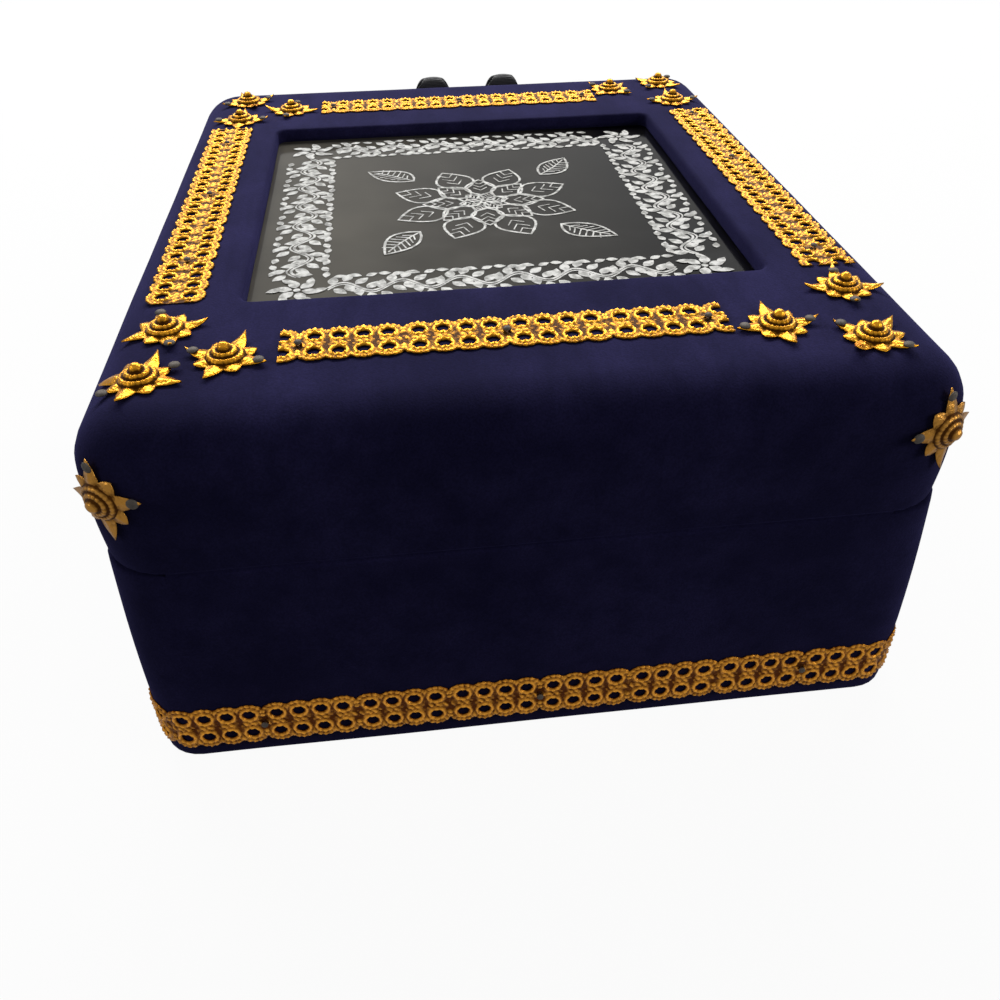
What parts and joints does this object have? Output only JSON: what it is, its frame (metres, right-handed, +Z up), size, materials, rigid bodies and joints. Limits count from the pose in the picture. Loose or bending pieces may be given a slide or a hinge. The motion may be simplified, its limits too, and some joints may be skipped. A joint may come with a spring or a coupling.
{
  "type": "display box",
  "caption": "Velvet-covered display box with a padded, hinged lid, a square glass window, stamped brass strips and star studs.",
  "frame": {"origin": "centre of the box's underside, on the surface it stands on", "axes": "+Z up, +Y from the hinge side (back) to the opening side (front), +X to the right seen from the hinge side"},
  "size_m": [0.2068, 0.2629, 0.1089],
  "materials": {
    "pine_board": "plain pine, covered",
    "navy_velvet": "short smooth pile",
    "wadding": "cotton wadding, covered",
    "lining_cloth": "smooth navy lining cloth",
    "base_cloth": "close black cloth",
    "hinge_tape": "woven tape, glued and covered",
    "stamped_brass": "stamped, lightly tarnished",
    "steel_nails": "dull grey steel",
    "dark_glass": "dark backed glass with a pale line print",
    "black_ribbon": "dark ribbed ribbon"
  },
  "bodies": {
    "base": {"bottom_board": "pine_board", "base_wall_back": "pine_board", "base_wall_front": "pine_board", "base_wall_left": "pine_board", "base_wall_right": "pine_board", "base_velvet": "navy_velvet", "bottom_cloth": "base_cloth", "base_wall_lining": "lining_cloth", "base_floor_pad": "lining_cloth", "hinge_tape_base": "hinge_tape", "base_trim_back": "stamped_brass", "base_trim_front": "stamped_brass", "base_trim_left": "stamped_brass", "base_trim_right": "stamped_brass", "base_trim_nails": "steel_nails"},
    "lid": {"lid_wall_back": "pine_board", "lid_wall_front": "pine_board", "lid_wall_left": "pine_board", "lid_wall_right": "pine_board", "lid_top_panel": "pine_board", "lid_wadding": "wadding", "lid_velvet": "navy_velvet", "window_glass": "dark_glass", "glass_packing_frame": "pine_board", "lid_ceiling_board": "lining_cloth", "lid_wall_lining": "lining_cloth", "hinge_tape_lid": "hinge_tape", "top_trim_back": "stamped_brass", "top_trim_front": "stamped_brass", "top_trim_left": "stamped_brass", "top_trim_right": "stamped_brass", "top_trim_nails": "steel_nails", "star_back_left_inner": "stamped_brass", "star_back_left_middle": "stamped_brass", "star_back_left_outer": "stamped_brass", "star_back_right_inner": "stamped_brass", "star_back_right_middle": "stamped_brass", "star_back_right_outer": "stamped_brass", "star_front_left_inner": "stamped_brass", "star_front_left_middle": "stamped_brass", "star_front_left_outer": "stamped_brass", "star_front_right_inner": "stamped_brass", "star_front_right_middle": "stamped_brass", "star_front_right_outer": "stamped_brass", "star_corner_back_left": "stamped_brass", "star_corner_back_right": "stamped_brass", "star_corner_front_left": "stamped_brass", "star_corner_front_right": "stamped_brass", "star_nails": "steel_nails", "pull_loop_left": "black_ribbon", "pull_loop_right": "black_ribbon", "loop_tacks": "steel_nails"}
  },
  "joints": [
    {"name": "lid_hinge", "type": "hinge", "parent": "base", "child": "lid", "pos_m": [0, -0.127, 0.066], "axis": [1, 0, 0], "range_deg": [0, 105]}
  ]
}
